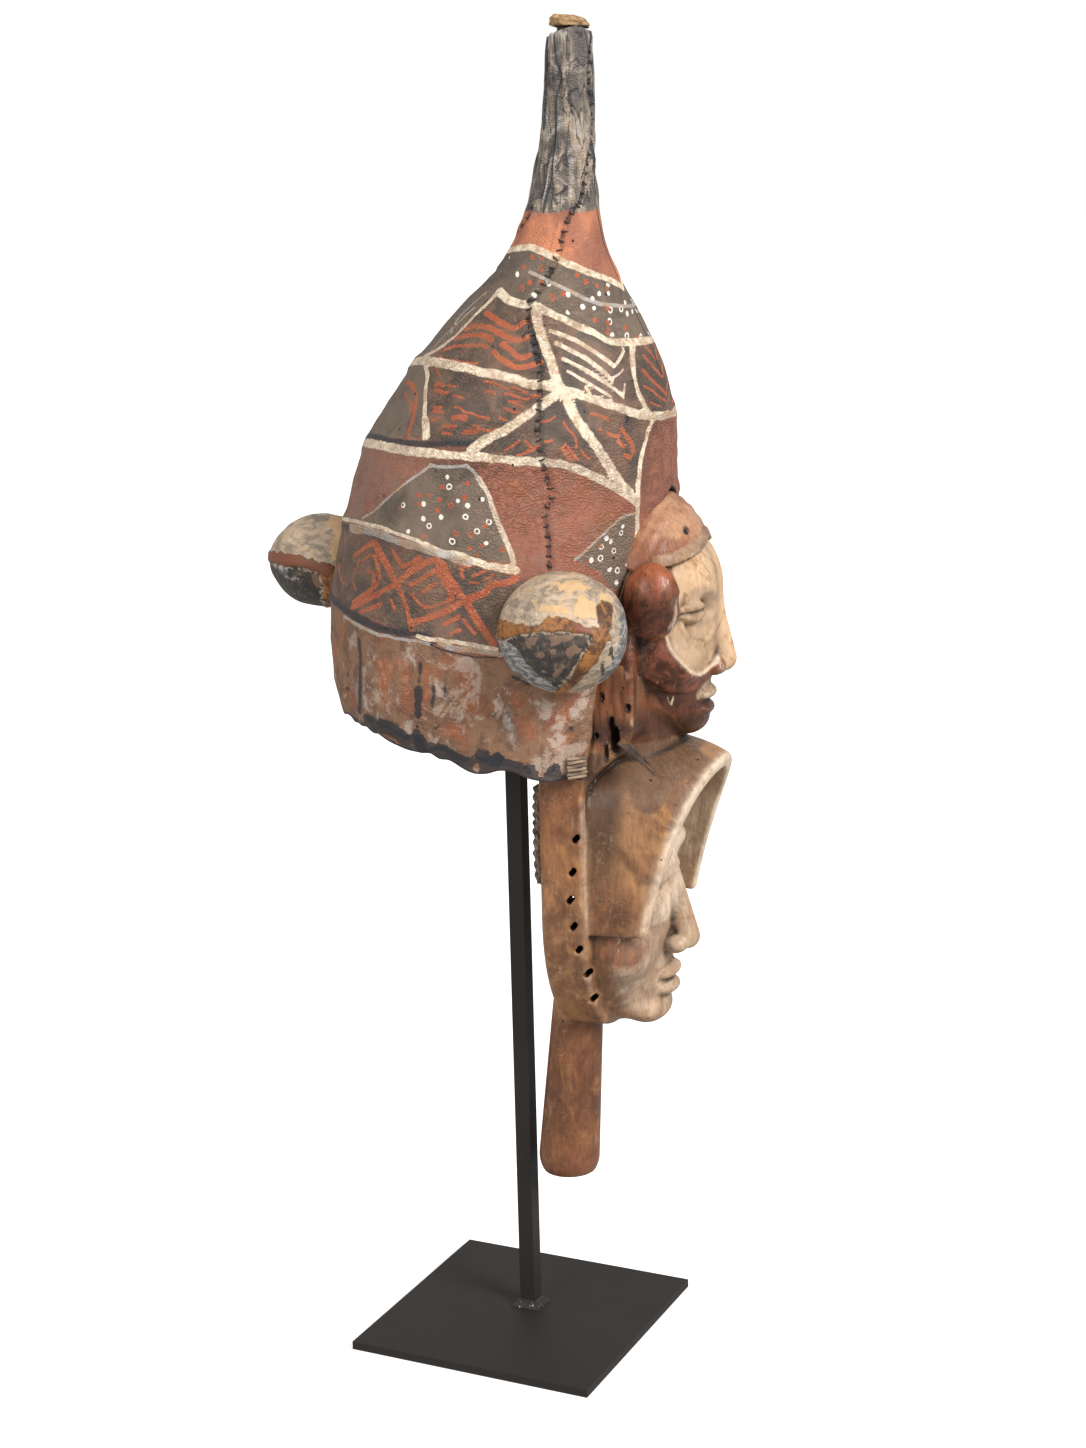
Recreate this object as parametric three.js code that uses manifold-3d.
// A standing headdress mask: a carved wooden block with two faces and a handle, under a tall
// sewn hood with a spire, held by a square steel post on a square plate.
// Millimetres, +Z up. The origin is on the post's axis, on the underside of the plate.
// The faces look along -Y, and the mask is symmetric about the plane X = 0.

import * as THREE from 'three';
import { mergeVertices } from 'three/addons/utils/BufferGeometryUtils.js';
import Module from 'manifold-3d';

const wasm = await Module();
wasm.setup();

const GAP = 0.4;

// Stand
const PLATE = { side: 190, thick: 6, x: -12.4, y: 1, turn: THREE.MathUtils.degToRad(-5.7) };
const POST = { side: 12, top: 764 };
const WELD = { reach: 5, height: 5 };

// Hood rings from the rim up to the tip of the spire. fore is how far the ring's centre lies in
// front of the post, tilt is how far the ring dips at the front, in degrees.
const RINGS = [
  { z: 458, fore: -7, depth: 121, width: 118, tilt: 12 },
  { z: 479, fore: -8, depth: 125, width: 122, tilt: 12 },
  { z: 512, fore: -6, depth: 126, width: 124, tilt: 11 },
  { z: 560, fore: -2, depth: 123.5, width: 120, tilt: 11 },
  { z: 610, fore: 5, depth: 117, width: 113, tilt: 11 },
  { z: 650, fore: 13, depth: 109.5, width: 106, tilt: 11 },
  { z: 690, fore: 26, depth: 96, width: 94, tilt: 12 },
  { z: 725, fore: 37, depth: 79, width: 77, tilt: 13 },
  { z: 755, fore: 44, depth: 58, width: 57, tilt: 14 },
  { z: 780, fore: 46, depth: 40, width: 40, tilt: 14 },
  { z: 805, fore: 45.5, depth: 28.5, width: 28, tilt: 10 },
  { z: 835, fore: 47, depth: 22, width: 21, tilt: 5 },
  { z: 870, fore: 50, depth: 17.5, width: 17, tilt: 2 },
  { z: 905, fore: 52, depth: 16, width: 16, tilt: 0 },
  { z: 934, fore: 53, depth: 14, width: 14, tilt: 0 },
];
const SHELL = { wall: 5, sides: 32, rings: 22, innerRings: 9, cavityTop: 9 };
const STOPPER = {
  z: 934, fore: 53, sides: 12,
  profile: [[0, 0], [11, 0], [14.5, 5], [13, 12], [7, 14], [0, 14]],
};

// Cut canes at the front end of the brim, the braid on the back edge of the wood, and the pin
const CANES = { count: 5, radius: 1.9, pitch: 3.3, length: 18, fore: 71, x: -85.5, z: 443, turn: 44 };
const BRAID = { width: 9, thick: 5.2, x: -69, spots: [[39.2, 432], [38.3, 405], [38.1, 380], [39.1, 360]] };
const PIN = { from: [-74, 104, 468], to: [-62, 128, 440], radius: 2.4, tip: 1, sides: 7 };

// Front opening of the hood, which the wood fills, as a pointed arch
const ARCH = { halfWidth: 78, spring: 500, rise: 130, bow: 1.8, point: 0.7 };

// Pods on the hood: centre, turn from the front towards the mask's right, and radii
const BULBS = [
  { name: 'temple_bulb_right', x: -118, fore: 80, z: 549, turn: 47, along: 46, across: 42, high: 40 },
  { name: 'temple_bulb_left', x: 128, fore: 64, z: 549, turn: -62, along: 44, across: 41, high: 39 },
  { name: 'back_bulb', x: 0, fore: -145, z: 572, turn: 180, along: 38, across: 35, high: 34 },
];

// Lower mask
const LOWER = {
  halfWidth: 75, bottom: 240, roundFrom: 335, back: 43, rimFront: 76,
  hood: { fore: 60, z: 365, halfWidth: 71, reach: 121, height: 92, wall: 9, low: 325, openFrom: 92 },
  ridge: { fore: 116, slope: 0.2, bow: 0.0013 },
};
const HEAD = { turn: THREE.MathUtils.degToRad(8), fore: 95, back: 82 };
const HOLLOW = { fore: 36, z: 345, across: 62, deep: 66, high: 90, sides: 18, bands: 10 };
const HANDLE = {
  top: 250, foot: 132, foreTop: 43.5, foreFoot: 34, radiusTop: 18.5, radiusFoot: 22.5, end: 120,
};
// Holes along the lower rim: each spot is how far in front of the post it lies, and how high
const HOLES = {
  radius: 2.2, depth: 26, inset: 4, sides: 6,
  spots: [[72, 397], [69, 373], [67, 353], [69, 334], [72, 317], [76, 298], [76, 276]],
};

const materials = {
  steel: new THREE.MeshStandardMaterial({ color: 0x101112, roughness: 0.45, metalness: 0.6 }),
  cloth: new THREE.MeshStandardMaterial({ color: 0x8a4a36, roughness: 0.85, metalness: 0 }),
  pod: new THREE.MeshStandardMaterial({ color: 0x7d6048, roughness: 0.6, metalness: 0 }),
  wood: new THREE.MeshStandardMaterial({ color: 0x9a6a48, roughness: 0.6, metalness: 0 }),
  fibre: new THREE.MeshStandardMaterial({ color: 0x7a6a5a, roughness: 0.9, metalness: 0 }),
};

// Solids

function toManifold(geometry) {
  const bare = geometry.clone();
  bare.deleteAttribute('normal');
  bare.deleteAttribute('uv');
  const merged = mergeVertices(bare, 1e-4);
  const vertProperties = new Float32Array(merged.attributes.position.array);
  const triVerts = new Uint32Array(merged.index.array);
  return new wasm.Manifold(new wasm.Mesh({ numProp: 3, vertProperties, triVerts }));
}

function toGeometry(solid) {
  const mesh = solid.getMesh();
  const geometry = new THREE.BufferGeometry();
  geometry.setAttribute('position', new THREE.BufferAttribute(new Float32Array(mesh.vertProperties), 3));
  geometry.setIndex(new THREE.BufferAttribute(new Uint32Array(mesh.triVerts), 1));
  geometry.computeVertexNormals();
  return geometry;
}

const lerp = THREE.MathUtils.lerp;
const clamp = THREE.MathUtils.clamp;
const smoothstep = THREE.MathUtils.smoothstep;

// Rings joined into one closed skin, with a point at each end
function skin(rings) {
  const sides = rings[0].length;
  const points = rings.flat();
  const faces = [];
  for (let i = 0; i + 1 < rings.length; i += 1) {
    for (let j = 0; j < sides; j += 1) {
      const k = (j + 1) % sides;
      const [a, b, c, d] = [i * sides + j, i * sides + k, (i + 1) * sides + k, (i + 1) * sides + j];
      faces.push(a, b, c, a, c, d);
    }
  }
  const mean = (ring) => ring.reduce((sum, p) => sum.add(p), new THREE.Vector3()).divideScalar(sides);
  points.push(mean(rings[0]), mean(rings[rings.length - 1]));
  const last = (rings.length - 1) * sides;
  for (let j = 0; j < sides; j += 1) {
    const k = (j + 1) % sides;
    faces.push(rings.length * sides, k, j);
    faces.push(rings.length * sides + 1, last + j, last + k);
  }
  const geometry = new THREE.BufferGeometry().setFromPoints(points);
  geometry.setIndex(faces);
  return geometry;
}

// Hood

// A smooth value of one ring size at a place s between the rim (0) and the tip (1)
function ringSize(key, s) {
  const at = clamp(s, 0, 1) * (RINGS.length - 1);
  const i = Math.min(Math.floor(at), RINGS.length - 2);
  const t = at - i;
  const get = (n) => RINGS[clamp(n, 0, RINGS.length - 1)][key];
  const [a, b, c, d] = [get(i - 1), get(i), get(i + 1), get(i + 2)];
  return b + 0.5 * t * (c - a + t * (2 * a - 5 * b + 4 * c - d + t * (3 * (b - c) + d - a)));
}

// One ring of the hood, drawn in by the wall for its inner face
function hoodRing(s, wall) {
  const tilt = THREE.MathUtils.degToRad(ringSize('tilt', s));
  const depth = ringSize('depth', s) - wall;
  const width = ringSize('width', s) - wall;
  const ring = [];
  for (let j = 0; j < SHELL.sides; j += 1) {
    const phi = (2 * Math.PI * j) / SHELL.sides;
    const along = depth * Math.cos(phi);
    ring.push(new THREE.Vector3(
      width * Math.sin(phi),
      -(ringSize('fore', s) + along * Math.cos(tilt)),
      ringSize('z', s) - along * Math.sin(tilt),
    ));
  }
  return ring;
}

function hoodRings(count, top, wall) {
  return Array.from({ length: count + 1 }, (_, i) => hoodRing((top * i) / count, wall));
}

function hoodShell() {
  const outer = skin(hoodRings(SHELL.rings, 1, 0));
  const inner = skin(hoodRings(SHELL.innerRings, SHELL.cavityTop / (RINGS.length - 1), SHELL.wall));
  const rim = hoodRing(0, SHELL.wall);
  const below = rim.map((p) => p.clone().setZ(p.z - 40));
  const mouth = skin([below, rim.map((p) => p.clone().setZ(p.z + 0.5))]);
  return toManifold(outer).subtract(toManifold(inner)).subtract(toManifold(mouth));
}

function archHalfWidth(z) {
  const t = clamp((z - ARCH.spring) / ARCH.rise, 0, 1);
  return ARCH.halfWidth * (1 - t ** ARCH.bow) ** ARCH.point;
}

function archCut(clear) {
  const shape = new THREE.Shape();
  const low = 380;
  shape.moveTo(-ARCH.halfWidth - clear, low);
  shape.lineTo(ARCH.halfWidth + clear, low);
  const steps = 14;
  for (let i = 0; i <= steps; i += 1) {
    const z = ARCH.spring + (ARCH.rise * i) / steps;
    shape.lineTo(archHalfWidth(z) + clear, z);
  }
  for (let i = steps; i >= 0; i -= 1) {
    const z = ARCH.spring + (ARCH.rise * i) / steps;
    shape.lineTo(-archHalfWidth(z) - clear, z);
  }
  const cut = new THREE.ExtrudeGeometry(shape, { depth: 200, bevelEnabled: false });
  cut.rotateX(Math.PI / 2);
  return toManifold(cut);
}

// Carving, as a field that is negative in the wood: a is the distance from the mirror plane,
// f the distance in front of the post

function ball(a, f, z, [ca, cf, cz], [ra, rf, rz]) {
  const [x, y, w] = [(a - ca) / ra, (f - cf) / rf, (z - cz) / rz];
  const k = Math.hypot(x, y, w);
  const g = Math.hypot(x / ra, y / rf, w / rz);
  return g > 0 ? (k * (k - 1)) / g : -Math.min(ra, rf, rz);
}

function rod(a, f, z, [ax, ay, az], [bx, by, bz], ra, rb) {
  const [dx, dy, dz] = [bx - ax, by - ay, bz - az];
  const t = clamp(((a - ax) * dx + (f - ay) * dy + (z - az) * dz) / (dx * dx + dy * dy + dz * dz), 0, 1);
  return Math.hypot(a - ax - t * dx, f - ay - t * dy, z - az - t * dz) - lerp(ra, rb, t);
}

function blend(p, q, k) {
  const h = clamp(0.5 + (0.5 * (q - p)) / k, 0, 1);
  return lerp(q, p, h) - k * h * (1 - h);
}

const carve = (p, q, k) => -blend(-p, q, k);

// The board that runs from the lower rim up behind the upper head
function board(a, f, z) {
  const low = LOWER.roundFrom;
  const span = low - LOWER.bottom;
  const side = z < low
    ? (Math.hypot(a / LOWER.halfWidth, (low - z) / span) - 1) * LOWER.halfWidth
    : a - Math.min(LOWER.halfWidth, archHalfWidth(z) - 1.2);
  const back = lerp(LOWER.back, 84, smoothstep(z, 430, 520));
  const front = lerp(LOWER.rimFront, 113, smoothstep(z, 425, 475));
  return Math.max(side, back - f, f - front, z - (ARCH.spring + ARCH.rise - 3));
}

function lowerFace(a, f, z) {
  let d = ball(a, f, z, [0, 70, 337], [65, 49, 95]);
  d = blend(d, ball(a, f, z, [0, 98, 256], [25, 16, 13]), 10);
  d = blend(d, ball(a, f, z, [38, 92, 308], [20, 17, 20]), 12);
  d = blend(d, ball(a, f, z, [0, 100, 278], [26, 14, 20]), 8);
  d = blend(d, ball(a, f, z, [24, 106, 374], [25, 12, 9]), 7);
  d = carve(d, ball(a, f, z, [29, 123, 352], [19, 14, 11]), 4);
  d = blend(d, ball(a, f, z, [28, 101, 349], [15, 13, 10]), 1.5);
  d = blend(d, rod(a, f, z, [0, 112, 372], [0, 127, 309], 5.5, 9.5), 5);
  d = blend(d, ball(a, f, z, [9, 121, 305], [7.5, 9, 7]), 3);
  d = blend(d, ball(a, f, z, [0, 112, 283], [19, 9, 5.5]), 2);
  d = blend(d, ball(a, f, z, [0, 111, 271], [17, 9, 6]), 2);
  return Math.max(d, LOWER.back + 10 - f);
}

// The upper head looks a little to the mask's left
function upperHead(x, fore, z) {
  const [sin, cos] = [Math.sin(HEAD.turn), Math.cos(HEAD.turn)];
  const a = Math.abs(x * cos - (fore - HEAD.fore) * sin);
  const f = HEAD.fore + x * sin + (fore - HEAD.fore) * cos;
  let d = ball(a, f, z, [0, 100, 532], [54, 52, 70]);
  d = blend(d, ball(a, f, z, [0, 108, 562], [50, 46, 49]), 6);
  d = blend(d, ball(a, f, z, [0, 105, 492], [42, 38, 35]), 6);
  d = blend(d, ball(a, f, z, [30, 112, 516], [25, 32, 20]), 6);
  d = blend(d, ball(a, f, z, [0, 128, 470], [24, 16, 13]), 8);
  d = carve(d, ball(a, f, z, [31, 160, 551], [21, 20, 14]), 2);
  d = blend(d, ball(a, f, z, [29, 131, 549], [16, 13.5, 10.5]), 1);
  d = blend(d, rod(a, f, z, [0, 143, 572], [0, 154, 511], 5.5, 9.5), 5);
  d = blend(d, ball(a, f, z, [9, 149, 507], [7.5, 9, 7]), 3);
  d = blend(d, ball(a, f, z, [0, 140, 487], [18, 10, 5]), 2);
  d = blend(d, ball(a, f, z, [0, 138, 476], [17, 11, 5.5]), 2);
  const hairline = 596 - 0.26 * a;
  const hair = Math.max(ball(a, f, z, [0, 104, 562], [60, 46, 68]), hairline - z);
  d = Math.min(d, hair);
  d = blend(d, ball(a, f, z, [48, 108, 558], [17, 22, 24]), 6);
  const bite = ball(a, f, z, [80, 143, 561], [34, 14, 11]);
  const ear = carve(ball(a, f, z, [65, 115, 561], [15, 19.5, 26.5]), bite, 3);
  return Math.max(blend(d, ear, 3), HEAD.back - fore);
}

function carvedWood(x, y, z) {
  const a = Math.abs(x);
  const f = -y;
  let d = blend(board(a, f, z), lowerFace(a, f, z), 3);
  const neck = Math.max(ball(a, f, z, [0, 98, 462], [46, 28, 60]), 440 - z, z - 500);
  d = blend(d, neck, 8);
  d = blend(d, upperHead(x, f, z), 4);
  const grip = Math.max(
    rod(a, f, z, [0, HANDLE.foreTop, HANDLE.top], [0, HANDLE.foreFoot, HANDLE.foot],
      HANDLE.radiusTop, HANDLE.radiusFoot),
    HANDLE.end - z,
  );
  return blend(d, grip, 6);
}

// Closed facets where a field crosses a level, on a grid of uneven steps. Each cell holds one point
// for each separate sheet that passes through it, and four cells round a crossed edge make a facet.
const CORNERS = [0, 1, 2, 3, 4, 5, 6, 7].map((n) => [n & 1, (n >> 1) & 1, n >> 2]);
const EDGES = [];
CORNERS.forEach((p, n) => CORNERS.forEach((q, m) => {
  const apart = [0, 1, 2].filter((axis) => p[axis] !== q[axis]);
  if (m > n && apart.length === 1) EDGES.push({ ends: [n, m], axis: apart[0] });
}));
const SIDES = [0, 1, 2].flatMap((axis) => [0, 1].map((value) => {
  const corners = [0, 1, 2, 3, 4, 5, 6, 7].filter((n) => CORNERS[n][axis] === value);
  const edges = EDGES.map((e, n) => n).filter((n) => EDGES[n].ends.every((c) => corners.includes(c)));
  return { corners, edges };
}));

// Gives each crossed edge of one cell the number of the sheet that it belongs to
function sheets(inside) {
  const crossed = EDGES.map((e) => inside[e.ends[0]] !== inside[e.ends[1]]);
  const sheet = EDGES.map((e, n) => n);
  const join = (m, n) => {
    const [from, to] = [sheet[m], sheet[n]];
    sheet.forEach((value, i) => { if (value === from) sheet[i] = to; });
  };
  for (const side of SIDES) {
    const cut = side.edges.filter((n) => crossed[n]);
    if (cut.length === 2) join(cut[0], cut[1]);
    if (cut.length === 4) {
      for (const corner of side.corners.filter((c) => inside[c])) {
        const [m, n] = cut.filter((e) => EDGES[e].ends.includes(corner));
        join(m, n);
      }
    }
  }
  return sheet.map((value, n) => (crossed[n] ? value : -1));
}

function facets(field, xs, ys, zs, level) {
  const lines = [xs, ys, zs];
  const [nx, ny, nz] = lines.map((line) => line.length);
  const at = (i, j, k) => (k * ny + j) * nx + i;
  const values = new Float64Array(nx * ny * nz);
  const eachCell = (from, act) => {
    for (let k = from; k + 1 < nz; k += 1) {
      for (let j = from; j + 1 < ny; j += 1) {
        for (let i = from; i + 1 < nx; i += 1) act([i, j, k]);
      }
    }
  };
  zs.forEach((z, k) => ys.forEach((y, j) => xs.forEach((x, i) => {
    values[at(i, j, k)] = field(x, y, z) - level;
  })));
  const points = [];
  const cells = new Map();
  eachCell(0, (cell) => {
    const spots = CORNERS.map((c) => c.map((bit, axis) => cell[axis] + bit));
    const corner = spots.map((spot) => values[at(...spot)]);
    const inside = corner.map((value) => value < 0);
    if (inside.every((value) => value === inside[0])) return;
    const sheet = sheets(inside);
    const found = new Map();
    EDGES.forEach(({ ends: [p, q] }, n) => {
      if (sheet[n] < 0) return;
      const t = corner[p] / (corner[p] - corner[q]);
      const place = [0, 1, 2].map((axis) => lerp(lines[axis][spots[p][axis]], lines[axis][spots[q][axis]], t));
      if (!found.has(sheet[n])) {
        found.set(sheet[n], { sum: new THREE.Vector3(), count: 0, id: points.length + found.size });
      }
      const entry = found.get(sheet[n]);
      entry.sum.add(new THREE.Vector3(...place));
      entry.count += 1;
    });
    found.forEach((entry) => points.push(entry.sum.divideScalar(entry.count)));
    cells.set(at(...cell), EDGES.map((e, n) => (sheet[n] < 0 ? -1 : found.get(sheet[n]).id)));
  });
  const index = [];
  const edgeOf = (from, axis) => EDGES.findIndex((e) => e.axis === axis
    && CORNERS[e.ends[0]].every((bit, n) => n === axis || bit === from[n]));
  eachCell(1, (cell) => {
    const inside = values[at(...cell)] < 0;
    [0, 1, 2].forEach((axis) => {
      const next = cell.map((n, i) => n + (i === axis ? 1 : 0));
      if (inside === values[at(...next)] < 0) return;
      const [u, v] = [(axis + 1) % 3, (axis + 2) % 3];
      let ids = [[1, 1], [0, 1], [0, 0], [1, 0]].map(([du, dv]) => {
        const other = cell.map((n, i) => n - (i === u ? du : 0) - (i === v ? dv : 0));
        const bits = [0, 1, 2].map((i) => (i === u ? du : 0) + (i === v ? dv : 0));
        return cells.get(at(...other))[edgeOf(bits, axis)];
      });
      if (!inside) ids = ids.reverse();
      const [a, b, c, d] = ids;
      if (points[a].distanceTo(points[c]) <= points[b].distanceTo(points[d])) index.push(a, b, c, a, c, d);
      else index.push(a, b, d, b, c, d);
    });
  });
  const geometry = new THREE.BufferGeometry().setFromPoints(points);
  geometry.setIndex(index);
  return geometry;
}

// Grid lines between marks, each stretch cut into equal steps close to the given size
function gridLines(marks) {
  const lines = [marks[0][0]];
  for (let i = 0; i + 1 < marks.length; i += 1) {
    const [from, step] = marks[i];
    const to = marks[i + 1][0];
    const count = Math.max(1, Math.round((to - from) / step));
    for (let n = 1; n <= count; n += 1) lines.push(lerp(from, to, n / count));
  }
  return lines;
}

const across = gridLines([[0, 7], [35, 12.8], [99]]);
const GRID = {
  x: [...across.slice(1).reverse().map((v) => -v), ...across],
  y: gridLines([[-180, 8.2], [-98, 17], [4]]),
  z: gridLines([[84, 22], [238, 8.8], [326, 14.2], [440, 12], [500, 8.6], [572, 11.5], [652]]),
};

// One swelling skin of the lower face's hood, drawn in by the wall for its inner face
function hoodSkin(wall, from) {
  const { hood } = LOWER;
  const height = hood.height - wall;
  const first = Math.asin((from - hood.z) / height);
  const levels = 10;
  const arcs = 14;
  const rings = [];
  for (let i = 0; i <= levels; i += 1) {
    const rise = Math.sin(lerp(first, 0.485 * Math.PI, i / levels));
    const draw = (1 - Math.abs(rise) ** 4) ** 0.4;
    const ring = [];
    for (let j = 0; j <= arcs; j += 1) {
      const turn = (Math.PI * j) / arcs;
      const bow = (value) => Math.sign(value) * Math.abs(value) ** 0.8;
      const x = (hood.halfWidth - wall) * draw * bow(Math.cos(turn));
      const fore = (hood.reach - wall) * draw * bow(Math.sin(turn));
      ring.push(new THREE.Vector3(-x, -(hood.fore + fore), hood.z + height * rise));
    }
    rings.push(ring);
  }
  return toManifold(skin(rings));
}

// The hood that overhangs the lower face, open in front of its ridge
function faceHood() {
  const { hood, ridge } = LOWER;
  const shape = new THREE.Shape();
  const steps = 8;
  const top = hood.z + hood.height + 10;
  shape.moveTo(ridge.fore, hood.low - 10);
  for (let i = 0; i <= steps; i += 1) {
    const up = ((top - hood.low) * i) / steps;
    shape.lineTo(ridge.fore + ridge.slope * up + ridge.bow * up * up, hood.low + up);
  }
  shape.lineTo(ridge.fore + 120, top);
  shape.lineTo(ridge.fore + 120, hood.low - 10);
  const front = new THREE.ExtrudeGeometry(shape, { depth: 2 * hood.halfWidth + 20, bevelEnabled: false });
  front.translate(0, 0, -hood.halfWidth - 10);
  front.applyMatrix4(new THREE.Matrix4().makeBasis(
    new THREE.Vector3(0, -1, 0), new THREE.Vector3(0, 0, 1), new THREE.Vector3(-1, 0, 0),
  ));
  const behind = new THREE.BoxGeometry(300, 200, 300);
  behind.translate(0, 100 - hood.openFrom, hood.z);
  const inner = hoodSkin(hood.wall, hood.low - 4).subtract(toManifold(behind));
  return hoodSkin(0, hood.low).subtract(inner).subtract(toManifold(front));
}

function woodSolid() {
  const hollow = new THREE.SphereGeometry(1, HOLLOW.sides, HOLLOW.bands);
  hollow.rotateX(Math.PI / 2);
  hollow.scale(HOLLOW.across, HOLLOW.deep, HOLLOW.high);
  hollow.translate(0, -HOLLOW.fore, HOLLOW.z);
  let solid = toManifold(facets(carvedWood, GRID.x, GRID.y, GRID.z, 0)).add(faceHood())
    .subtract(toManifold(hollow));
  for (const side of [-1, 1]) {
    for (const [fore, z] of HOLES.spots) {
      const drill = new THREE.CylinderGeometry(HOLES.radius, HOLES.radius, HOLES.depth, HOLES.sides);
      drill.rotateZ(Math.PI / 2);
      drill.translate(side * (LOWER.halfWidth - HOLES.inset), -fore, z);
      solid = solid.subtract(toManifold(drill));
    }
  }
  return solid;
}

const group = new THREE.Group();

function add(name, geometry, material) {
  const mesh = new THREE.Mesh(geometry, material);
  mesh.name = name;
  group.add(mesh);
  return mesh;
}

function buildStand() {
  const plate = add('base_plate', new THREE.BoxGeometry(PLATE.side, PLATE.side, PLATE.thick), materials.steel);
  plate.position.set(PLATE.x, PLATE.y, PLATE.thick / 2);
  plate.rotation.z = PLATE.turn;
  const length = POST.top - PLATE.thick - GAP;
  const post = add('post', new THREE.BoxGeometry(POST.side, POST.side, length), materials.steel);
  post.position.z = PLATE.thick + GAP + length / 2;
  post.rotation.z = PLATE.turn;
  const foot = POST.side / 2 + GAP;
  const ring = [[foot, 0], [foot + WELD.reach, 0], [foot + WELD.reach * 0.5, WELD.height * 0.6],
    [foot, WELD.height], [foot, 0]].map(([r, h]) => new THREE.Vector2(r * Math.SQRT2, h));
  const bead = new THREE.LatheGeometry(ring, 4);
  bead.rotateX(Math.PI / 2);
  bead.rotateZ(Math.PI / 4);
  const weld = add('weld_bead', bead, materials.steel);
  weld.position.z = PLATE.thick + GAP;
  weld.rotation.z = PLATE.turn;
}

// A pod: a round body drawn out to a blunt point on its outer side, cut where the hood's wall is
function podSolid({ x, fore, z, turn, along, across, high }) {
  const steps = 8;
  const profile = [];
  for (let i = 0; i <= steps; i += 1) {
    const t = (Math.PI * i) / steps;
    const tip = 0.1 * Math.max(0, Math.cos(t)) ** 6;
    profile.push(new THREE.Vector2(i === 0 || i === steps ? 0 : Math.sin(t), Math.cos(t) * (1 + tip)));
  }
  const pod = new THREE.LatheGeometry(profile.reverse(), 16);
  pod.scale(across, along, high);
  pod.rotateZ(Math.PI - THREE.MathUtils.degToRad(turn));
  pod.translate(x, -fore, z);
  return toManifold(pod);
}

// The cut canes at the front end of the brim, laid one above another
function rimCanes(side, clear) {
  const { count, pitch, length, fore, x, z, turn } = CANES;
  const radius = CANES.radius + clear;
  let bundle = null;
  for (let i = 0; i < count; i += 1) {
    const cane = new THREE.CylinderGeometry(radius, radius, length + 2 * clear, 6);
    cane.rotateZ(THREE.MathUtils.degToRad(turn));
    cane.translate(0, 0, i * pitch);
    bundle = bundle ? bundle.add(toManifold(cane)) : toManifold(cane);
  }
  const placed = bundle.translate([x, -fore, z]);
  return side > 0 ? placed.mirror([1, 0, 0]) : placed;
}

// A strip of plaited fibre: a flat bar that follows the back edge of the wood
function fibreBraid() {
  const { width, thick, x, spots } = BRAID;
  const path = new THREE.CatmullRomCurve3(spots.map(([fore, z]) => new THREE.Vector3(x, -fore, z)));
  const section = new THREE.Shape();
  for (let i = 0; i < 6; i += 1) {
    const turn = (2 * Math.PI * i) / 6;
    section[i ? 'lineTo' : 'moveTo'](0.5 * thick * Math.cos(turn), 0.5 * width * Math.sin(turn));
  }
  return new THREE.ExtrudeGeometry(section, { steps: 8, extrudePath: path });
}

function woodenPin() {
  const { from, to, radius, tip, sides } = PIN;
  const start = new THREE.Vector3(from[0], -from[1], from[2]);
  const end = new THREE.Vector3(to[0], -to[1], to[2]);
  const pin = new THREE.CylinderGeometry(tip, radius, start.distanceTo(end), sides);
  const up = new THREE.Vector3(0, 1, 0);
  pin.applyQuaternion(new THREE.Quaternion().setFromUnitVectors(up, end.clone().sub(start).normalize()));
  pin.translate(...start.add(end).multiplyScalar(0.5).toArray());
  return toManifold(pin);
}

buildStand();
const wood = woodSolid();
add('carved_mask', toGeometry(wood), materials.wood);
const clearWood = toManifold(facets(carvedWood, GRID.x, GRID.y, GRID.z, 1.2));
const hood = hoodShell().subtract(archCut(1.2)).subtract(clearWood)
  .subtract(rimCanes(-1, GAP)).subtract(rimCanes(1, GAP));
add('headdress', toGeometry(hood), materials.cloth);
const clearHood = toManifold(skin(hoodRings(SHELL.rings, 1, -GAP)));
for (const pod of BULBS) {
  add(pod.name, toGeometry(podSolid(pod).subtract(clearHood)), materials.pod);
}
const stopper = new THREE.LatheGeometry(STOPPER.profile.map(([r, h]) => new THREE.Vector2(r, h)), STOPPER.sides);
stopper.rotateX(Math.PI / 2);
const plug = add('spire_stopper', stopper, materials.fibre);
plug.position.set(0, -STOPPER.fore, STOPPER.z + GAP);
add('rim_canes_right', toGeometry(rimCanes(-1, 0).subtract(clearWood)), materials.fibre);
add('rim_canes_left', toGeometry(rimCanes(1, 0).subtract(clearWood)), materials.fibre);
add('fibre_braid', fibreBraid(), materials.fibre);
add('wooden_pin', toGeometry(woodenPin().subtract(clearWood)), materials.wood);

export default group;
